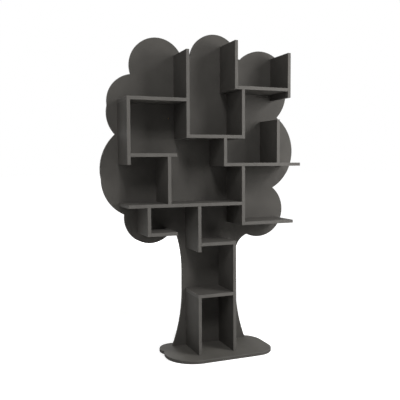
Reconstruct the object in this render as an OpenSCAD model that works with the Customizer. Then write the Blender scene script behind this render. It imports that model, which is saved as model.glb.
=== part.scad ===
// Tree shaped bookcase: a tree outline cut from board, on a rounded base plate, that carries
// thirteen uprights and ten shelves. Millimetres, z up, origin on the floor at the middle of
// the whole width and depth, front towards minus y.

/* [Boards] */
// Thickness of every board
board_t = 16; // [15:1:19]
// Depth of the shelves and uprights, from front edge to back panel
board_depth = 185; // [165:5:215]

/* [Crown outline] */
// Left lobe, middle across
left_lobe_x = -295; // [-305:1:-288]
// Left lobe, height of its middle over the long shelf
left_lobe_z = 169; // [161:1:177]
// Left lobe, radius
left_lobe_r = 230; // [224:1:238]
// Lower swell of the left lobe, middle across
left_swell_x = -330; // [-336:1:-324]
// Lower swell of the left lobe, height of its middle over the long shelf
left_swell_z = 122; // [114:1:130]
// Lower swell of the left lobe, radius
left_swell_r = 190; // [184:1:196]
// Upper left lobe, middle across
upper_left_lobe_x = -354; // [-360:1:-348]
// Upper left lobe, height of its middle over the long shelf
upper_left_lobe_z = 497; // [491:1:505]
// Upper left lobe, radius
upper_left_lobe_r = 134; // [130:1:140]
// Lower swell of the upper left lobe, middle across
upper_left_swell_x = -340; // [-346:1:-334]
// Lower swell of the upper left lobe, height of its middle over the long shelf
upper_left_swell_z = 443; // [437:1:449]
// Lower swell of the upper left lobe, radius
upper_left_swell_r = 151; // [147:1:157]
// Top left lobe, middle across
top_left_lobe_x = -237; // [-247:1:-227]
// Top left lobe, height of its middle over the long shelf
top_left_lobe_z = 674; // [664:1:684]
// Top left lobe, radius
top_left_lobe_r = 139; // [132:1:149]
// Top lobe, middle across
top_lobe_x = 70; // [60:1:80]
// Top lobe, height of its middle over the long shelf
top_lobe_z = 717; // [707:1:727]
// Top lobe, radius
top_lobe_r = 133; // [128:1:143]
// Top right lobe, middle across
top_right_lobe_x = 332; // [322:1:342]
// Top right lobe, height of its middle over the long shelf
top_right_lobe_z = 624; // [614:1:634]
// Top right lobe, radius
top_right_lobe_r = 159; // [154:1:169]
// Swell under the top right lobe, middle across
swell_x = 302; // [292:1:312]
// Swell under the top right lobe, height of its middle over the long shelf
swell_z = 570; // [560:1:580]
// Swell under the top right lobe, radius
swell_r = 184; // [178:1:194]
// Right lobe, middle across
right_lobe_x = 306; // [296:1:316]
// Right lobe, height of its middle over the long shelf
right_lobe_z = 260; // [250:1:270]
// Right lobe, radius
right_lobe_r = 219; // [212:1:229]
// Lower right lobe, middle across
lower_right_lobe_x = 319; // [309:1:329]
// Lower right lobe, height of its middle over the long shelf
lower_right_lobe_z = -49; // [-59:1:-39]
// Lower right lobe, radius
lower_right_lobe_r = 145; // [139:1:155]
// Lower left lobe, middle across
lower_left_lobe_x = -278; // [-286:1:-270]
// Lower left lobe, height of its middle over the long shelf
lower_left_lobe_z = -68; // [-74:1:-60]
// Lower left lobe, radius
lower_left_lobe_r = 131; // [126:1:137]
// Round middle of the crown, middle across
core_x = 40; // [30:1:50]
// Round middle of the crown, height of its middle over the long shelf
core_z = 250; // [240:1:260]
// Round middle of the crown, radius
core_r = 330; // [325:1:340]
// Upper middle of the crown, middle across
upper_core_x = -40; // [-46:1:-34]
// Upper middle of the crown, height of its middle over the long shelf
upper_core_z = 530; // [524:1:536]
// Upper middle of the crown, radius
upper_core_r = 206; // [202:1:210]
// Lower middle of the crown, middle across
lower_core_x = -60; // [-68:1:-52]
// Lower middle of the crown, height of its middle over the long shelf
lower_core_z = 50; // [42:1:58]
// Lower middle of the crown, radius
lower_core_r = 170; // [164:1:176]
// Fill under the notch beside the top lobe, middle across
notch_fill_x = 190; // [184:1:196]
// Fill under the notch beside the top lobe, height of its middle over the long shelf
notch_fill_z = 650; // [644:1:656]
// Fill under the notch beside the top lobe, radius
notch_fill_r = 86; // [82:1:90]

/* [Trunk outline] */
// Middle of the trunk across
trunk_x = 38; // [32:1:44]
// Half width of the trunk's straight waist
waist_half = 150; // [144:1:156]
// Height where the foot begins to spread
foot_top_z = 302; // [290:1:314]
// Radius of the hollow sides of the foot
foot_r = 800; // [740:10:900]
// How far under the long shelf the left side begins to spread
left_spread_drop = 348; // [336:1:360]
// Radius of the left spread
left_spread_r = 660; // [600:10:720]
// How far under the long shelf the right side begins to spread
right_spread_drop = 268; // [260:1:276]
// Radius of the right spread
right_spread_r = 95; // [88:1:102]
// Round corner between the trunk and the lower left lobe, middle across
crook_x = -164; // [-168:1:-161]
// Round corner between the trunk and the lower left lobe, radius
crook_r = 34; // [31:1:36]
// How far the round corner's circle runs into the lobe
crook_lap = 1; // [0.8:0.1:2]

/* [Base plate] */
// Left edge of the base plate
base_left_x = -241; // [-260:1:-232]
// Right edge of the base plate
base_right_x = 301; // [284:1:320]
// How far the base plate reaches out in front of the uprights
base_reach = 72; // [60:1:84]
// Corner radius at the front left
base_front_left_r = 145; // [120:1:150]
// Corner radius at the front right
base_front_right_r = 100; // [80:1:120]
// Corner radius at the back right
base_back_right_r = 120; // [90:1:130]
// Corner radius at the back left
base_back_left_r = 77; // [65:1:95]

/* [Uprights across] */
// Far left upright, middle
far_left_x = -430; // [-436:1:-424]
// Lower left upright, middle
lower_left_x = -337; // [-343:1:-331]
// Mid left upright, middle
mid_left_x = -237; // [-243:1:-231]
// Crown left upright, middle
crown_left_x = -143; // [-149:1:-137]
// Left trunk uprights, middle
trunk_left_x = -87; // [-93:1:-81]
// Centre upright, middle
centre_x = 49; // [43:1:55]
// Right trunk upright, middle
trunk_right_x = 97; // [91:1:103]
// Crown right upright, middle
crown_right_x = 108; // [104:1:114]
// Inner right uprights, middle
inner_right_x = 145; // [139:1:151]
// Right upright, middle
right_x = 339; // [333:1:345]
// Top right upright, middle
top_right_x = 400; // [394:1:406]

/* [Shelf heights] */
// Long shelf, middle, from the floor: the crown and all that it carries go up and down with it
long_z = 750; // [700:5:800]
// Low shelf of the trunk, middle, from the floor
trunk_low_z = 304; // [290:1:318]
// Top shelf of the trunk, under the long shelf
trunk_top_drop = 193; // [187:1:199]
// Lower left shelf, under the long shelf
lower_left_drop = 134; // [126:1:138]
// Lower right shelf, under the long shelf
lower_right_drop = 100; // [92:1:108]
// Right shelf, over the long shelf
right_rise = 191; // [185:1:197]
// Mid left shelf, over the long shelf
mid_left_rise = 237; // [229:1:245]
// Crown shelf, over the right shelf
crown_rise = 135; // [127:1:143]
// Upper left shelf, over the mid left shelf
upper_left_rise = 259; // [251:1:267]
// Top right shelf, over the crown shelf
top_right_rise = 238; // [232:1:244]

/* [Free ends] */
// Left end of the long shelf
long_end_x = -435; // [-441:1:-429]
// Right end of the two left shelves
left_shelf_end_x = -199; // [-205:1:-193]
// Right end of the right shelf
right_end_x = 465; // [455:1:475]
// Right end of the lower right shelf
lower_right_end_x = 425; // [419:1:431]
// Far left upright, from its bottom up to the mid left shelf
far_left_hang = 44; // [36:1:50]
// Crown left upright, from the upper left shelf to its top
crown_left_rise = 235; // [229:1:241]
// Crown right upright, from the top right shelf to its top
crown_right_rise = 226; // [218:1:234]
// Top right upright, from its bottom up to the top right shelf
top_right_hang = 39; // [31:1:47]
// Top right upright, from the top right shelf to its top
top_right_end_rise = 183; // [175:1:191]
// Right upright, from the right shelf to its top
right_end_rise = 224; // [216:1:232]
// Upper trunk upright, from its bottom up to the trunk's top shelf
trunk_head_hang = 36; // [30:1:42]

/* [Fixings] */
// Diameter of the dowels
dowel_d = 8; // [6:0.5:8]
// Length of the dowels
dowel_l = 30; // [28:1:32]
// Depth of a dowel hole in a board's face
dowel_face_depth = 11; // [9:0.5:12]
// Room left past each end of a dowel
dowel_end_room = 0.5; // [0.3:0.1:1]
// Play of a dowel in its hole, on the diameter
dowel_play = 0.1; // [0.05:0.05:0.2]
// Distance of the dowels from a board's front and back edges
dowel_inset = 37; // [32:1:45]
// Length of the screws through the back panel
screw_l = 40; // [36:1:45]
// Diameter of the plain shank of a screw
screw_d = 4; // [3.5:0.1:4.5]
// Length of a screw's point
screw_tip_l = 4; // [3:0.5:5]
// Diameter of the core of a screw
screw_core_d = 2.8; // [2.4:0.1:3.2]
// Diameter of the countersunk head
screw_head_d = 8; // [7:0.1:9]
// Height of the cone of the head
screw_cone_h = 2.4; // [2:0.1:3]
// Diameter of the driver recess in a head
driver_d = 3.2; // [2.6:0.1:3.6]
// Depth of the driver recess
driver_depth = 1.6; // [1.2:0.1:2]
// Play of a screw's shank in the panel, on the diameter
shank_play = 0.5; // [0.3:0.1:0.8]
// Play of a screw's core in its pilot hole, on the diameter
core_play = 0.1; // [0.05:0.05:0.2]
// Distance of the end screws from a board's end
screw_inset = 42; // [36:1:48]
// Length of the screws up through the base plate
base_screw_l = 50; // [45:1:60]
// Distance of the base screws from an upright's front and back
base_screw_inset = 60; // [52:1:68]
// Distance of the outer base screws from the middle of the trunk
base_screw_reach = 150; // [130:1:160]

/* [Wall blocks] */
// Width and height of a wall block
wall_block_w = 60; // [50:1:70]
// Thickness of the wall blocks, as far as the base plate reaches out behind the panel
wall_block_t = 39; // [30:1:45]
// Middle of the wall blocks, over the long shelf
wall_block_rise = 420; // [410:1:435]
// Left wall block, middle across
wall_block_left_x = -180; // [-190:1:-175]
// Right wall block, middle across
wall_block_right_x = 200; // [190:1:215]
// Diameter of the hole for a wall screw
wall_hole_d = 6; // [5:0.5:7]
// Distance of a block's two screws from its middle
wall_screw_reach = 20; // [16:1:22]
// How far a block's screws bite into the panel
wall_screw_bite = 11; // [9:1:13]

/* [Hidden] */
$fn = 96;
half_share = 0.5;
// Width of the neck behind a lobe, as a share of the lobe's radius
neck_share = 0.6;
overrun = 1;

base_depth = base_reach + board_depth + board_t + wall_block_t;
base_front_y = -base_depth * half_share;
front_y = base_front_y + base_reach;
panel_y = front_y + board_depth;
panel_back_y = panel_y + board_t;
base_back_y = panel_back_y + wall_block_t;
base_top_z = board_t;
board_half = board_t * half_share;
wall_screw_l = wall_block_t + wall_screw_bite;
// Middle of the crook's circle to the middle of the lower left lobe
crook_gap = lower_left_lobe_r + crook_r - crook_lap;
lower_left_middle_z = long_z + lower_left_lobe_z;
crook_z = lower_left_middle_z - sqrt(crook_gap ^ 2 - (lower_left_lobe_x - crook_x) ^ 2);

// Heights from the floor
trunk_top_z = long_z - trunk_top_drop;
lower_left_z = long_z - lower_left_drop;
lower_right_z = long_z - lower_right_drop;
right_z = long_z + right_rise;
mid_left_z = long_z + mid_left_rise;
crown_z = right_z + crown_rise;
upper_left_z = mid_left_z + upper_left_rise;
top_right_z = crown_z + top_right_rise;
wall_block_z = long_z + wall_block_rise;

// Boxes of the boards, as left, right, bottom and top
far_left_box = upright_box(far_left_x, mid_left_z - far_left_hang, under(upper_left_z));
lower_left_upright_box = upright_box(lower_left_x, under(lower_left_z), under(long_z));
mid_left_box = upright_box(mid_left_x, over(long_z), under(mid_left_z));
crown_left_box = upright_box(crown_left_x, under(crown_z), upper_left_z + crown_left_rise);
trunk_left_box = upright_box(trunk_left_x, base_top_z, under(trunk_low_z));
trunk_head_box = upright_box(trunk_left_x, trunk_top_z - trunk_head_hang, under(long_z));
centre_box = upright_box(centre_x, under(right_z), under(crown_z));
trunk_right_box = upright_box(trunk_right_x, base_top_z, under(trunk_top_z));
crown_right_box = upright_box(crown_right_x, under(top_right_z), top_right_z + crown_right_rise);
inner_upper_box = upright_box(inner_right_x, under(crown_z), under(top_right_z));
inner_lower_box = upright_box(inner_right_x, under(lower_right_z), under(right_z));
right_box = upright_box(right_x, over(right_z), right_z + right_end_rise);
top_right_box = upright_box(top_right_x, top_right_z - top_right_hang,
    top_right_z + top_right_end_rise);

trunk_low_box = shelf_box(left_of(trunk_left_x), left_of(trunk_right_x), trunk_low_z);
trunk_top_box = shelf_box(right_of(trunk_left_x), right_of(trunk_right_x), trunk_top_z);
lower_left_shelf_box = shelf_box(right_of(lower_left_x), left_shelf_end_x, lower_left_z);
lower_right_shelf_box = shelf_box(right_of(inner_right_x), lower_right_end_x, lower_right_z);
long_box = shelf_box(long_end_x, left_of(inner_right_x), long_z);
right_shelf_box = shelf_box(right_of(centre_x), right_end_x, right_z);
mid_left_shelf_box = shelf_box(right_of(far_left_x), left_shelf_end_x, mid_left_z);
crown_shelf_box = shelf_box(right_of(crown_left_x), left_of(inner_right_x), crown_z);
upper_left_shelf_box = shelf_box(left_of(far_left_x), left_of(crown_left_x), upper_left_z);
top_right_shelf_box = shelf_box(right_of(crown_right_x), left_of(top_right_x), top_right_z);

// Joints where a shelf's end meets an upright: plane across, height, side of the shelf
END_JOINTS = [
    [left_of(crown_left_x), upper_left_z, -1],
    [right_of(far_left_x), mid_left_z, 1],
    [right_of(crown_left_x), crown_z, 1],
    [left_of(inner_right_x), crown_z, -1],
    [right_of(crown_right_x), top_right_z, 1],
    [left_of(top_right_x), top_right_z, -1],
    [right_of(centre_x), right_z, 1],
    [right_of(inner_right_x), lower_right_z, 1],
    [left_of(inner_right_x), long_z, -1],
    [right_of(lower_left_x), lower_left_z, 1],
    [right_of(trunk_left_x), trunk_top_z, 1],
    [left_of(trunk_right_x), trunk_low_z, -1]
];

// Joints where an upright's end meets a level board: middle across, plane, side of the upright
TOP_JOINTS = [
    [far_left_x, under(upper_left_z), -1],
    [mid_left_x, under(mid_left_z), -1],
    [mid_left_x, over(long_z), 1],
    [inner_right_x, under(top_right_z), -1],
    [centre_x, under(crown_z), -1],
    [right_x, over(right_z), 1],
    [inner_right_x, under(right_z), -1],
    [lower_left_x, under(long_z), -1],
    [trunk_left_x, under(long_z), -1],
    [trunk_right_x, under(trunk_top_z), -1],
    [trunk_left_x, under(trunk_low_z), -1],
    [trunk_left_x, base_top_z, 1],
    [trunk_right_x, base_top_z, 1]
];

UPRIGHTS = [
    far_left_box, lower_left_upright_box, mid_left_box, crown_left_box, trunk_left_box,
    trunk_head_box, centre_box, trunk_right_box, crown_right_box, inner_upper_box,
    inner_lower_box, right_box, top_right_box
];
SHELVES = [
    trunk_low_box, trunk_top_box, lower_left_shelf_box, lower_right_shelf_box, long_box,
    right_shelf_box, mid_left_shelf_box, crown_shelf_box, upper_left_shelf_box,
    top_right_shelf_box
];

// Screws through the panel, as place across and height
PANEL_SCREWS = concat(
    [for (b = UPRIGHTS) for (z = [b[2] + screw_inset, b[3] - screw_inset]) [middle(b[0], b[1]), z]],
    [for (b = SHELVES) for (x = [b[0] + screw_inset, b[1] - screw_inset]) [x, middle(b[2], b[3])]]
);
// Screws up through the base plate, as place across and depth
BASE_SCREWS = concat(
    [for (x = [trunk_left_x, trunk_right_x])
        for (y = [front_y + base_screw_inset, panel_y - base_screw_inset]) [x, y]],
    [for (x = [-base_screw_reach, 0, base_screw_reach]) [trunk_x + x, middle(panel_y, panel_back_y)]]
);
WALL_BLOCKS = [wall_block_left_x, wall_block_right_x];

function middle(a, b) = (a + b) * half_share;
function under(z) = z - board_half;
function over(z) = z + board_half;
function left_of(x) = x - board_half;
function right_of(x) = x + board_half;
function upright_box(x, bottom, top) = [left_of(x), right_of(x), bottom, top];
function shelf_box(left, right, z) = [left, right, under(z), over(z)];
// True where a place across and up lies in or on a board's box
function holds(b, x, z) = x >= b[0] && x <= b[1] && z >= b[2] && z <= b[3];

// One dowel's length along plus z, from the plane of its joint into the end of a board
module dowel() {
    translate([0, 0, dowel_end_room - dowel_face_depth])
        cylinder(h = dowel_l, d = dowel_d);
}

// The hole of one dowel, in both boards of its joint
module dowel_hole() {
    translate([0, 0, -dowel_face_depth])
        cylinder(h = dowel_l + dowel_end_room + dowel_end_room, d = dowel_d + dowel_play);
}

// Two copies of a child, at the front and back dowel places
module at_dowel_places() {
    for (y = [front_y + dowel_inset, panel_y - dowel_inset])
        translate([0, y, 0]) children();
}

// A child at an end joint, its plus z turned into the shelf
module at_end_joint(j) {
    translate([j[0], 0, j[1]]) at_dowel_places() rotate([0, j[2] * 90, 0]) children();
}

// A child at a top joint, its plus z turned into the upright
module at_top_joint(j) {
    translate([j[0], 0, j[1]]) at_dowel_places() rotate([0, j[2] > 0 ? 0 : 180, 0]) children();
}

// A countersunk screw along minus z, its head's top at zero and its plain shank down to shank_l
module screw(length, shank_l) {
    difference() {
        union() {
            translate([0, 0, -screw_cone_h])
                cylinder(h = screw_cone_h, d1 = screw_d, d2 = screw_head_d);
            translate([0, 0, -shank_l]) cylinder(h = shank_l - screw_cone_h, d = screw_d);
            translate([0, 0, screw_tip_l - length])
                cylinder(h = length - screw_tip_l - shank_l, d = screw_core_d);
            translate([0, 0, -length]) cylinder(h = screw_tip_l, d1 = 0, d2 = screw_core_d);
        }
        translate([0, 0, -driver_depth]) cylinder(h = driver_depth + overrun, d = driver_d);
    }
}

// The countersunk through hole for a screw's head and shank
module shank_hole(shank_l) {
    translate([0, 0, -screw_cone_h])
        cylinder(h = screw_cone_h, d1 = screw_d, d2 = screw_head_d);
    translate([0, 0, -shank_l - overrun]) cylinder(h = shank_l + overrun, d = screw_d + shank_play);
}

// The pilot hole for a screw's core, in the piece that the screw holds
module pilot_hole(length, shank_l) {
    translate([0, 0, -length - overrun])
        cylinder(h = length + overrun - shank_l, d = screw_core_d + core_play);
}

// A child at a place on the panel's back, its plus z turned out of the back
module at_panel_back(p) {
    translate([p[0], panel_back_y, p[1]]) rotate([-90, 0, 0]) children();
}

// A child at a place under the base plate, its plus z turned down
module at_base_under(p) {
    translate([p[0], p[1], 0]) rotate([180, 0, 0]) children();
}

// One board from its box, with the holes of the joints and screws that lie in it
module board(b) {
    color("#55534f")
        difference() {
            translate([b[0], front_y, b[2]]) cube([b[1] - b[0], board_depth, b[3] - b[2]]);
            for (j = END_JOINTS) if (holds(b, j[0], j[1])) at_end_joint(j) dowel_hole();
            for (j = TOP_JOINTS) if (holds(b, j[0], j[1])) at_top_joint(j) dowel_hole();
            for (p = PANEL_SCREWS) if (holds(b, p[0], p[1])) at_panel_back(p) pilot_hole(screw_l, board_t);
            for (p = BASE_SCREWS) if (holds(b, p[0], base_top_z) && p[1] < panel_y)
                at_base_under(p) pilot_hole(base_screw_l, board_t);
        }
}

// A circle inside the crown, its height taken from the long shelf
module disc(x, z, r) {
    translate([x, long_z + z]) circle(r = r);
}

// A circle at the crown's outline, with a neck that keeps it joined to the round middle
module lobe(x, z, r) {
    way = [core_x - x, core_z - z];
    neck_w = r * neck_share;
    disc(x, z, r);
    translate([x, long_z + z]) rotate([0, 0, atan2(way[1], way[0])])
        translate([0, -neck_w * half_share]) square([norm(way), neck_w]);
}

// The trunk: a foot with hollow sides, a straight waist, and a spread into the crown at each side
module trunk_shape() {
    difference() {
        translate([trunk_x - foot_r * half_share, base_top_z])
            square([foot_r, foot_top_z - base_top_z]);
        for (side = [-1, 1])
            translate([trunk_x + side * (waist_half + foot_r), foot_top_z]) circle(r = foot_r);
    }
    translate([trunk_x - waist_half, foot_top_z])
        square([waist_half + waist_half, long_z - foot_top_z]);
    trunk_spread(-1, left_spread_r, left_spread_drop);
    trunk_spread(1, right_spread_r, right_spread_drop);
}

// What the trunk gains at one side, outside a circle that touches its waist a drop under the shelf
module trunk_spread(side, r, drop) {
    edge = trunk_x + side * waist_half;
    difference() {
        translate([side > 0 ? trunk_x : edge - r, long_z - drop]) square([waist_half + r, drop]);
        translate([edge + side * r, long_z - drop]) circle(r = r);
    }
}

// The round inner corner where the trunk's left side meets the lower left lobe
module crook_shape() {
    difference() {
        polygon([
            [crook_x, crook_z],
            [trunk_x, crook_z],
            [trunk_x, lower_left_middle_z],
            [lower_left_lobe_x, lower_left_middle_z]
        ]);
        translate([crook_x, crook_z]) circle(r = crook_r);
    }
}

module tree_shape() {
    lobe(left_lobe_x, left_lobe_z, left_lobe_r);
    lobe(left_swell_x, left_swell_z, left_swell_r);
    lobe(upper_left_lobe_x, upper_left_lobe_z, upper_left_lobe_r);
    lobe(upper_left_swell_x, upper_left_swell_z, upper_left_swell_r);
    lobe(top_left_lobe_x, top_left_lobe_z, top_left_lobe_r);
    lobe(top_lobe_x, top_lobe_z, top_lobe_r);
    lobe(top_right_lobe_x, top_right_lobe_z, top_right_lobe_r);
    lobe(swell_x, swell_z, swell_r);
    lobe(right_lobe_x, right_lobe_z, right_lobe_r);
    lobe(lower_right_lobe_x, lower_right_lobe_z, lower_right_lobe_r);
    lobe(lower_left_lobe_x, lower_left_lobe_z, lower_left_lobe_r);
    disc(core_x, core_z, core_r);
    disc(upper_core_x, upper_core_z, upper_core_r);
    disc(lower_core_x, lower_core_z, lower_core_r);
    disc(notch_fill_x, notch_fill_z, notch_fill_r);
    trunk_shape();
    crook_shape();
}

// Flat shapes drawn with height as their second axis, stood up as a board of the panel
module stand_up() {
    translate([0, panel_back_y, 0]) rotate([90, 0, 0]) linear_extrude(height = board_t) children();
}

module tree_panel() {
    color("#55534f")
        difference() {
            stand_up() tree_shape();
            for (p = PANEL_SCREWS) at_panel_back(p) shank_hole(board_t);
            for (x = WALL_BLOCKS) {
                wall_bore(x);
                at_block_screws(x) pilot_hole(wall_screw_l, wall_block_t);
            }
            for (p = BASE_SCREWS) if (p[1] > panel_y) at_base_under(p) pilot_hole(base_screw_l, board_t);
        }
}

// One rounded corner of the base plate, its middle worked out from the two edges it meets
module base_corner(x, y, side_x, side_y, r) {
    translate([x - side_x * r, y - side_y * r]) circle(r = r);
}

// Four round corners and what lies between them, with a shallow notch between the two left ones
module base_shape() {
    base_corner(base_left_x, base_front_y, -1, -1, base_front_left_r);
    base_corner(base_right_x, base_front_y, 1, -1, base_front_right_r);
    base_corner(base_right_x, base_back_y, 1, 1, base_back_right_r);
    base_corner(base_left_x, base_back_y, -1, 1, base_back_left_r);
    polygon([
        [base_left_x + base_front_left_r, base_front_y],
        [base_right_x - base_front_right_r, base_front_y],
        [base_right_x, base_front_y + base_front_right_r],
        [base_right_x, base_back_y - base_back_right_r],
        [base_right_x - base_back_right_r, base_back_y],
        [base_left_x + base_back_left_r, base_back_y]
    ]);
}

module base_plate() {
    color("#55534f")
        difference() {
            linear_extrude(height = board_t) base_shape();
            for (j = TOP_JOINTS) if (j[1] == base_top_z) at_top_joint(j) dowel_hole();
            for (p = BASE_SCREWS) at_base_under(p) shank_hole(board_t);
        }
}

module dowels() {
    color("#c9a877") {
        for (j = END_JOINTS) at_end_joint(j) dowel();
        for (j = TOP_JOINTS) at_top_joint(j) dowel();
    }
}

module panel_screws() {
    color("#b9bcc0")
        for (p = PANEL_SCREWS) at_panel_back(p) screw(screw_l, board_t);
}

module base_screws() {
    color("#b9bcc0")
        for (p = BASE_SCREWS) at_base_under(p) screw(base_screw_l, board_t);
}

module block_screws() {
    color("#b9bcc0")
        for (x = WALL_BLOCKS) at_block_screws(x) screw(wall_screw_l, wall_block_t);
}

// A child at the two screws of a wall block, its plus z turned out of the block's back
module at_block_screws(x) {
    for (s = [-1, 1])
        translate([x, base_back_y, wall_block_z + s * wall_screw_reach])
            rotate([-90, 0, 0]) children();
}

// The hole for a wall screw, through the panel and a wall block
module wall_bore(x) {
    translate([x, base_back_y + overrun, wall_block_z]) rotate([90, 0, 0])
        cylinder(h = base_back_y - panel_y + overrun + overrun, d = wall_hole_d);
}

module wall_blocks() {
    color("#55534f")
        for (x = WALL_BLOCKS)
            difference() {
                translate([x - wall_block_w * half_share, panel_back_y,
                        wall_block_z - wall_block_w * half_share])
                    cube([wall_block_w, wall_block_t, wall_block_w]);
                wall_bore(x);
                at_block_screws(x) shank_hole(wall_block_t);
            }
}

tree_panel();
base_plate();
board(far_left_box);  // upright_far_left
board(lower_left_upright_box);  // upright_lower_left
board(mid_left_box);  // upright_mid_left
board(crown_left_box);  // upright_crown_left
board(trunk_left_box);  // upright_trunk_left
board(trunk_head_box);  // upright_trunk_head
board(centre_box);  // upright_centre
board(trunk_right_box);  // upright_trunk_right
board(crown_right_box);  // upright_crown_right
board(inner_upper_box);  // upright_inner_upper
board(inner_lower_box);  // upright_inner_lower
board(right_box);  // upright_right
board(top_right_box);  // upright_top_right
board(trunk_low_box);  // shelf_trunk_low
board(trunk_top_box);  // shelf_trunk_top
board(lower_left_shelf_box);  // shelf_lower_left
board(lower_right_shelf_box);  // shelf_lower_right
board(long_box);  // shelf_long
board(right_shelf_box);  // shelf_right
board(mid_left_shelf_box);  // shelf_mid_left
board(crown_shelf_box);  // shelf_crown
board(upper_left_shelf_box);  // shelf_upper_left
board(top_right_shelf_box);  // shelf_top_right
dowels();
panel_screws();
base_screws();
wall_blocks();
block_screws();
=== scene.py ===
"""Looks of the tree shaped bookcase: sprayed fibreboard with eased edges, in a pale studio."""

import math

import bmesh
import bpy
from mathutils import Matrix, Vector


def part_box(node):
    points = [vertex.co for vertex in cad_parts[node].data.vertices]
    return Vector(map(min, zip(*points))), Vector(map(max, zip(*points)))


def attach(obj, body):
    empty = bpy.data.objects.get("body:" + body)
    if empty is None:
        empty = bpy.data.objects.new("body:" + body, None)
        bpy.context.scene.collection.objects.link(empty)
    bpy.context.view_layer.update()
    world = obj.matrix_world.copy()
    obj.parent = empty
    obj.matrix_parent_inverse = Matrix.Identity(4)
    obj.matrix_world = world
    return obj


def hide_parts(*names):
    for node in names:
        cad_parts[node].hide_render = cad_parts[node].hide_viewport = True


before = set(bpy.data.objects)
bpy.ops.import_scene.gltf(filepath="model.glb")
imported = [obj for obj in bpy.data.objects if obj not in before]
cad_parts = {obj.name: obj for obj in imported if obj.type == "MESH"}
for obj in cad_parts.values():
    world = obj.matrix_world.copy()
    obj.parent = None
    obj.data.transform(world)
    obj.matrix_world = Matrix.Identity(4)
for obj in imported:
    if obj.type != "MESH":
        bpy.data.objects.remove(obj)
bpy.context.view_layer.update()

MM = 0.001

# Camera, from the vanishing points and board edges of the photograph, in metres, degrees and mm
CAMERA_PLACE = (-1079.4 * MM, -2604.3 * MM, 949.6 * MM)
CAMERA_YAW = 21.52
CAMERA_DOWN = 3.73
CAMERA_ROLL = 0.30
CAMERA_LENS = 51.156
CAMERA_SENSOR = 36.0
CAMERA_REACH = 100.0

# How far the spray shop rounds over the edges of a board before lacquering
BOARD_EASING = 0.8 * MM
PLATE_EASING = 1.6 * MM
EASING_STEPS = 3
# A sharp outline shorter than this is the rim of a hole, which stays as it was drilled
SHORTEST_OUTLINE = 60 * MM
SHARP_ANGLE = math.radians(50)
# Two triangles that turn less than this against each other are parts of one flat face
FLAT_ANGLE = math.radians(0.4)
# A direction with more than this on one axis is square to the boards
SQUARE = 0.99999
# A face that looks this much out of an edge of its board belongs to that edge
EDGE_SHARE = 0.5
SAME_POINT = 0.005 * MM
SAME_PLANE = 0.01 * MM
# Places of the four finishes of a board in its list of materials
FACE_PLACE, EDGE_PLACE, ARRIS_PLACE, BORE_PLACE = range(4)

LACQUER_HEX = "#4c4a47"
EDGE_BAND_HEX = "#585653"
# Painted light: the base plate's lacquer is painted lighter than the boards', standing in for the
# extra light on its top
PLATE_HEX = "#565450"
ARRIS_HEX = "#5d5b58"
FIBREBOARD_HEX = "#8a6b4b"
FIBRE_HEX = "#b39670"
BEECH_HEX = "#c99f6c"
BEECH_FLECK_HEX = "#93653c"
ZINC_HEX = "#96989c"
FLOOR_HEX = "#f4f4f3"
WHITE_HEX = "#ffffff"
# A matting agent takes nearly all the shine off the lacquer, which shows no highlight anywhere
LACQUER_GLOSS = 0.03

# Ways in which a Mix node joins two colours: inputs 0, 6 and 7 are the share and the colours
MULTIPLY = {"data_type": "RGBA", "blend_type": "MULTIPLY"}
MIXED = {"data_type": "RGBA", "blend_type": "MIX"}
MIXED_COLOUR = 2
LARGER = {"operation": "MAXIMUM"}
# The values between which nearly all of a noise pattern lies
NOISE_SPREAD = {"From_Min": 0.3, "From_Max": 0.7}

# Lamps: name, place in metres, side in metres, watts, the point that it looks at
MIDDLE = (0.0, 0.05, 0.85)
LOWER_MIDDLE = (0.0, 0.05, 0.80)
SOFTBOXES = [
    ("key_softbox", (-1.11, -4.41, 4.71), 1.2, 144.0, MIDDLE),
    ("front_right_softbox", (3.50, -4.12, 3.39), 1.2, 98.0, MIDDLE),
    ("near_right_softbox", (1.13, -1.08, 1.30), 0.8, 20.0, LOWER_MIDDLE),
    ("near_left_softbox", (-1.60, -1.20, 1.60), 1.0, 5.5, LOWER_MIDDLE),
    ("back_softbox", (-0.10, 4.20, 1.10), 1.8, 90.0, MIDDLE),
]
# Strength of the even light from all round
AMBIENT = 0.13
# Half the side of the floor, which lies far past the view
FLOOR_REACH = 40.0
# What the floor adds of its own to the camera, by the bookcase and out where it has run to white
GLOW_NEAR, GLOW_FAR = 0.55, 1.0
GLOW_FROM, GLOW_TO = 1.0, 3.0


def linear(hex_colour):
    """A colour written as sRGB hex, as the linear values that a shader takes."""
    values = [int(hex_colour[i:i + 2], 16) / 255 for i in (1, 3, 5)]
    return [v / 12.92 if v <= 0.04045 else ((v + 0.055) / 1.055) ** 2.4 for v in values] + [1.0]


def add(tree, kind, settings=None, **inputs):
    """A new node with its settings, and with a link or a value on each input named.

    An input goes by its name, with _ for a space, or by its number, as in i0 or i6.
    """
    node = tree.nodes.new(kind)
    for name, value in (settings or {}).items():
        setattr(node, name, value)
    for name, value in inputs.items():
        numbered = name[0] == "i" and name[1:].isdigit()
        socket = node.inputs[int(name[1:]) if numbered else name.replace("_", " ")]
        if isinstance(value, bpy.types.NodeSocket):
            tree.links.new(value, socket)
        else:
            socket.default_value = value
    return node


def finish_named(name):
    """An empty material and its node tree."""
    material = bpy.data.materials.new(name)
    material.use_nodes = True
    material.node_tree.nodes.clear()
    return material, material.node_tree


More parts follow.
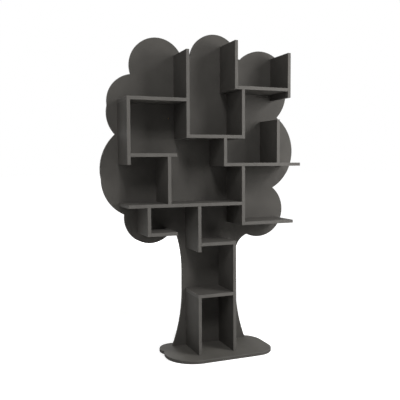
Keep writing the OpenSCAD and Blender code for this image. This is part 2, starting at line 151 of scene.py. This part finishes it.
def sprayed_lacquer(name, hex_colour, roughness, peel_size, peel_height):
    """Satin lacquer sprayed on fibreboard: a faint orange peel, cloudy sheen and slight mottling."""
    cloud_size, mottling = 90 * MM, 0.06
    wipe_size, sheen_change = 35 * MM, 0.06
    material, tree = finish_named(name)
    place = add(tree, "ShaderNodeTexCoord").outputs["Object"]
    # Clouds of a coat that went on in overlapping passes, about a hand wide
    clouds = add(tree, "ShaderNodeTexNoise", Vector=place, Scale=1 / cloud_size, Detail=3.0)
    shade = add(tree, "ShaderNodeMapRange", Value=clouds.outputs["Fac"], **NOISE_SPREAD,
                To_Min=1 - mottling, To_Max=1 + mottling)
    colour = add(tree, "ShaderNodeMix", MULTIPLY,
                 i0=1.0, i6=linear(hex_colour), i7=shade.outputs["Result"])
    # Sheen that differs where hands and dust cloths have been
    wiped = add(tree, "ShaderNodeTexNoise", Vector=place, Scale=1 / wipe_size, Detail=4.0)
    sheen = add(tree, "ShaderNodeMapRange", Value=wiped.outputs["Fac"],
                To_Min=roughness - sheen_change, To_Max=roughness + sheen_change)
    # Orange peel of the spray gun, over the fine grain of the board
    peel = add(tree, "ShaderNodeTexNoise", Vector=place, Scale=1 / peel_size, Detail=2.0)
    bump = add(tree, "ShaderNodeBump",
               Strength=0.35, Distance=peel_height, Height=peel.outputs["Fac"])
    shader = add(tree, "ShaderNodeBsdfPrincipled", Base_Color=colour.outputs[MIXED_COLOUR],
                 Roughness=sheen.outputs["Result"], Normal=bump.outputs["Normal"],
                 Specular_IOR_Level=LACQUER_GLOSS)
    add(tree, "ShaderNodeOutputMaterial", Surface=shader.outputs["BSDF"])
    return material


def drilled_fibreboard(name):
    """Bare fibreboard where a drill went through the lacquer: brown, felted and quite matt."""
    bundle_size, fluff_height = 0.9 * MM, 0.15 * MM
    material, tree = finish_named(name)
    place = add(tree, "ShaderNodeTexCoord").outputs["Object"]
    # Bundles of wood fibres, paler where the drill cut across them
    fibres = add(tree, "ShaderNodeTexNoise", Vector=place,
                 Scale=1 / bundle_size, Detail=4.0, Roughness=0.7)
    share = add(tree, "ShaderNodeMapRange", Value=fibres.outputs["Fac"],
                From_Min=0.4, From_Max=0.65)
    colour = add(tree, "ShaderNodeMix", MIXED, i0=share.outputs["Result"],
                 i6=linear(FIBREBOARD_HEX), i7=linear(FIBRE_HEX))
    bump = add(tree, "ShaderNodeBump",
               Strength=0.6, Distance=fluff_height, Height=fibres.outputs["Fac"])
    shader = add(tree, "ShaderNodeBsdfPrincipled", Base_Color=colour.outputs[MIXED_COLOUR],
                 Roughness=0.9, Normal=bump.outputs["Normal"], Specular_IOR_Level=0.2)
    add(tree, "ShaderNodeOutputMaterial", Surface=shader.outputs["BSDF"])
    return material


def turned_beech(name):
    """Beech dowel stock: warm and pale, with the dark flecks of its rays, and dry from sanding."""
    fleck_spacing, ring_spacing = 2 * MM, 5 * MM
    darkest_ring, palest_ring = 0.88, 1.08
    ring_height = 0.05 * MM
    material, tree = finish_named(name)
    place = add(tree, "ShaderNodeTexCoord").outputs["Object"]
    # Ray flecks, about 1 mm wide, with soft rims
    flecks = add(tree, "ShaderNodeTexVoronoi", Vector=place,
                 Scale=1 / fleck_spacing, Randomness=1.0)
    share = add(tree, "ShaderNodeMapRange", Value=flecks.outputs["Distance"],
                From_Min=0.15, From_Max=0.35, To_Min=1.0, To_Max=0.0)
    # Growth rings show as a slow change of tone
    rings = add(tree, "ShaderNodeTexNoise", Vector=place, Scale=1 / ring_spacing, Detail=3.0)
    tone = add(tree, "ShaderNodeMapRange", Value=rings.outputs["Fac"], **NOISE_SPREAD,
               To_Min=darkest_ring, To_Max=palest_ring)
    toned = add(tree, "ShaderNodeMix", MULTIPLY,
                i0=1.0, i6=linear(BEECH_HEX), i7=tone.outputs["Result"])
    colour = add(tree, "ShaderNodeMix", MIXED, i0=share.outputs["Result"],
                 i6=toned.outputs[MIXED_COLOUR], i7=linear(BEECH_FLECK_HEX))
    bump = add(tree, "ShaderNodeBump",
               Strength=0.4, Distance=ring_height, Height=rings.outputs["Fac"])
    shader = add(tree, "ShaderNodeBsdfPrincipled", Base_Color=colour.outputs[MIXED_COLOUR],
                 Roughness=0.7, Normal=bump.outputs["Normal"])
    add(tree, "ShaderNodeOutputMaterial", Surface=shader.outputs["BSDF"])
    return material


def zinc_plated_steel(name):
    """Barrel plated screws: grey zinc, dulled in patches and scuffed where they knocked together."""
    patch_size, darkest_patch, palest_patch = 2 * MM, 0.85, 1.05
    smoothest, roughest = 0.42, 0.58
    scuff_spacing, scuff_height = 0.6 * MM, 0.03 * MM
    material, tree = finish_named(name)
    place = add(tree, "ShaderNodeTexCoord").outputs["Object"]
    # Patches of passivated film, which are duller where they are paler
    film = add(tree, "ShaderNodeTexNoise", Vector=place, Scale=1 / patch_size, Detail=3.0)
    tone = add(tree, "ShaderNodeMapRange", Value=film.outputs["Fac"], **NOISE_SPREAD,
               To_Min=darkest_patch, To_Max=palest_patch)
    colour = add(tree, "ShaderNodeMix", MULTIPLY,
                 i0=1.0, i6=linear(ZINC_HEX), i7=tone.outputs["Result"])
    dull = add(tree, "ShaderNodeMapRange", Value=film.outputs["Fac"], **NOISE_SPREAD,
               To_Min=smoothest, To_Max=roughest)
    # Knocks and scuffs of the plating barrel
    scuffs = add(tree, "ShaderNodeTexVoronoi", Vector=place, Scale=1 / scuff_spacing)
    bump = add(tree, "ShaderNodeBump",
               Strength=0.3, Distance=scuff_height, Height=scuffs.outputs["Distance"])
    shader = add(tree, "ShaderNodeBsdfPrincipled", Base_Color=colour.outputs[MIXED_COLOUR],
                 Roughness=dull.outputs["Result"], Normal=bump.outputs["Normal"], Metallic=1.0)
    add(tree, "ShaderNodeOutputMaterial", Surface=shader.outputs["BSDF"])
    return material


# Each lacquer: its roughness, and the width and height of its orange peel
FACE = sprayed_lacquer(
    "satin_lacquer_on_fibreboard_face", LACQUER_HEX, 0.52, 5 * MM, 0.15 * MM)
# The base plate's lacquer is painted lighter, standing in for light falling on its top
PLATE = sprayed_lacquer(
    "satin_lacquer_painted_lighter_on_base_plate", PLATE_HEX, 0.58, 5 * MM, 0.15 * MM)
CUT_EDGE = sprayed_lacquer(
    "satin_lacquer_on_cut_fibreboard_edge", LACQUER_HEX, 0.60, 2 * MM, 0.25 * MM)
EDGE_BAND = sprayed_lacquer(
    "paler_satin_lacquer_on_edge_band", EDGE_BAND_HEX, 0.50, 4 * MM, 0.10 * MM)
ARRIS = sprayed_lacquer(
    "satin_lacquer_worn_thin_on_arris", ARRIS_HEX, 0.50, 2 * MM, 0.05 * MM)
BARE_BOARD = drilled_fibreboard("bare_fibreboard_in_drilled_holes")
BEECH = turned_beech("sanded_beech_dowel")
ZINC = zinc_plated_steel("bright_zinc_plated_screw_steel")


def outlines(bm):
    """The sharp edges of a board, without the rims of its drilled holes."""
    sharp = [e for e in bm.edges if len(e.link_faces) == 2 and e.calc_face_angle() > SHARP_ANGLE]
    waiting = set(sharp)
    kept = []
    for start in sharp:
        if start not in waiting:
            continue
        waiting.remove(start)
        chain = [start]
        for edge in chain:
            for vertex in edge.verts:
                joined = [e for e in vertex.link_edges if e in waiting]
                waiting.difference_update(joined)
                chain += joined
        if sum(e.calc_length() for e in chain) > SHORTEST_OUTLINE:
            kept += chain
    return kept


def share_out_finishes(bm, rim, low, high, thin_axes):
    """Each polygon of a board gets the place of its finish: face, edge, or a hole drilled in it."""
    on_rim = {vertex for edge in rim for vertex in edge.verts}
    for face in bm.faces:
        normal, middle = face.normal, face.calc_center_median()
        on_skin = any(
            abs(normal[axis]) > SQUARE
            and min(middle[axis] - low[axis], high[axis] - middle[axis]) < SAME_PLANE
            for axis in range(3))
        if on_skin or on_rim.intersection(face.verts):
            is_edge = max(abs(normal[axis]) for axis in thin_axes) > EDGE_SHARE
            face.material_index = EDGE_PLACE if is_edge else FACE_PLACE
        else:
            face.material_index = BORE_PLACE
        # The strips of a round outline or bore are shaded as one curve
        is_strip = len(face.verts) == 4
        face.smooth = is_strip and max(abs(normal[axis]) for axis in range(3)) < SQUARE


def eased_board(node, easing, thin_axes, face_finish, edge_finish):
    """A copy of a board with its edges rounded over, and with its own finish on each surface."""
    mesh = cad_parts[node].data.copy()
    mesh.name = node + "_lacquered"
    bm = bmesh.new()
    bm.from_mesh(mesh)
    bmesh.ops.remove_doubles(bm, verts=bm.verts, dist=SAME_POINT)
    bmesh.ops.dissolve_limit(bm, angle_limit=FLAT_ANGLE, verts=bm.verts, edges=bm.edges)
    rim = outlines(bm)
    low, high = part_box(node)
    share_out_finishes(bm, rim, low, high, thin_axes)
    made = bmesh.ops.bevel(bm, geom=rim, offset=easing, offset_type="OFFSET", affect="EDGES",
                           segments=EASING_STEPS, profile=0.5, material=-1, clamp_overlap=True)
    for face in made["faces"]:
        face.material_index = ARRIS_PLACE
        face.smooth = True
    # The finishes go on first, because clearing them afterwards would put every face on the first
    mesh.materials.clear()
    for material in (face_finish, edge_finish, ARRIS, BARE_BOARD):
        mesh.materials.append(material)
    bm.to_mesh(mesh)
    bm.free()
    board = bpy.data.objects.new(node + "_lacquered", mesh)
    bpy.context.collection.objects.link(board)
    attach(board, "root")
    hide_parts(node)


# An upright's edges look forward, back, up and down, and a shelf's forward, back and sideways
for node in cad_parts:
    if node.startswith("upright"):
        eased_board(node, BOARD_EASING, (1, 2), FACE, EDGE_BAND)
    elif node.startswith("shelf"):
        eased_board(node, BOARD_EASING, (0, 1), FACE, EDGE_BAND)
eased_board("tree_panel", BOARD_EASING, (0, 2), FACE, CUT_EDGE)
eased_board("base_plate", PLATE_EASING, (0, 1), PLATE, CUT_EDGE)
eased_board("wall_blocks", BOARD_EASING, (0, 2), FACE, CUT_EDGE)

for node, finish in (("dowels", BEECH), ("panel_screws", ZINC),
                     ("base_screws", ZINC), ("block_screws", ZINC)):
    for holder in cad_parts[node].material_slots:
        holder.material = finish


def past_the_object(tree):
    """The share of rays that only look at the background: the camera's, and in gloss and glass."""
    path = add(tree, "ShaderNodeLightPath").outputs
    seen = add(tree, "ShaderNodeMath", LARGER, i0=path["Is Camera Ray"], i1=path["Is Glossy Ray"])
    seen = add(tree, "ShaderNodeMath", LARGER,
               i0=seen.outputs["Value"], i1=path["Is Transmission Ray"])
    return seen.outputs["Value"]


def studio_floor():
    """A pale floor that runs out to white, with the bookcase's soft shadow left on it."""
    mesh = bpy.data.meshes.new("studio_floor")
    bm = bmesh.new()
    bmesh.ops.create_grid(bm, x_segments=1, y_segments=1, size=FLOOR_REACH)
    bm.to_mesh(mesh)
    bm.free()
    floor = bpy.data.objects.new("studio_floor", mesh)
    bpy.context.collection.objects.link(floor)
    material, tree = finish_named("matt_white_studio_floor")
    paint = add(tree, "ShaderNodeBsdfDiffuse", Color=linear(FLOOR_HEX))
    place = add(tree, "ShaderNodeTexCoord").outputs["Object"]
    distance = add(tree, "ShaderNodeVectorMath", {"operation": "LENGTH"}, i0=place)
    strength = add(tree, "ShaderNodeMapRange", Value=distance.outputs["Value"],
                   From_Min=GLOW_FROM, From_Max=GLOW_TO, To_Min=GLOW_NEAR, To_Max=GLOW_FAR)
    glow = add(tree, "ShaderNodeEmission",
               Color=linear(WHITE_HEX), Strength=strength.outputs["Result"])
    both = add(tree, "ShaderNodeAddShader", i0=paint.outputs["BSDF"], i1=glow.outputs["Emission"])
    choice = add(tree, "ShaderNodeMixShader",
                 i0=past_the_object(tree), i1=paint.outputs["BSDF"], i2=both.outputs["Shader"])
    add(tree, "ShaderNodeOutputMaterial", Surface=choice.outputs["Shader"])
    mesh.materials.append(material)


def studio_world():
    """Even soft light from all round, and plain white where the camera looks past the object."""
    world = bpy.data.worlds.new("studio_world")
    bpy.context.scene.world = world
    world.use_nodes = True
    tree = world.node_tree
    tree.nodes.clear()
    white = add(tree, "ShaderNodeBackground", Color=linear(WHITE_HEX), Strength=1.0)
    light = add(tree, "ShaderNodeBackground", Color=linear(WHITE_HEX), Strength=AMBIENT)
    choice = add(tree, "ShaderNodeMixShader", i0=past_the_object(tree),
                 i1=light.outputs["Background"], i2=white.outputs["Background"])
    add(tree, "ShaderNodeOutputWorld", Surface=choice.outputs["Shader"])


def softbox(name, place, side, watts, aim):
    """A square lamp at its place, turned to look at a point of the bookcase."""
    lamp = bpy.data.lights.new(name, "AREA")
    lamp.energy = watts
    lamp.size = side
    holder = bpy.data.objects.new(name, lamp)
    bpy.context.collection.objects.link(holder)
    holder.location = place
    holder.rotation_euler = (Vector(aim) - Vector(place)).to_track_quat("-Z", "Y").to_euler()


def photograph_camera():
    """The photograph's own camera, turned by yaw, then pitch, then a slight roll."""
    lens = bpy.data.cameras.new("photograph_camera")
    lens.lens = CAMERA_LENS
    lens.sensor_width = CAMERA_SENSOR
    lens.clip_end = CAMERA_REACH
    camera = bpy.data.objects.new("photograph_camera", lens)
    bpy.context.collection.objects.link(camera)
    yaw, down, roll = (math.radians(a) for a in (CAMERA_YAW, CAMERA_DOWN, CAMERA_ROLL))
    level = Vector((math.cos(yaw), -math.sin(yaw), 0))
    forward = Vector((math.sin(yaw), math.cos(yaw), 0))
    ahead = math.cos(down) * forward - math.sin(down) * Vector((0, 0, 1))
    below = ahead.cross(level)
    right = math.cos(roll) * level + math.sin(roll) * below
    up = math.sin(roll) * level - math.cos(roll) * below
    turn = Matrix((right, up, -ahead)).transposed().to_4x4()
    camera.matrix_world = Matrix.Translation(Vector(CAMERA_PLACE)) @ turn
    bpy.context.scene.camera = camera


studio_floor()
studio_world()
for box in SOFTBOXES:
    softbox(*box)
photograph_camera()
bpy.context.scene.view_settings.view_transform = "Standard"
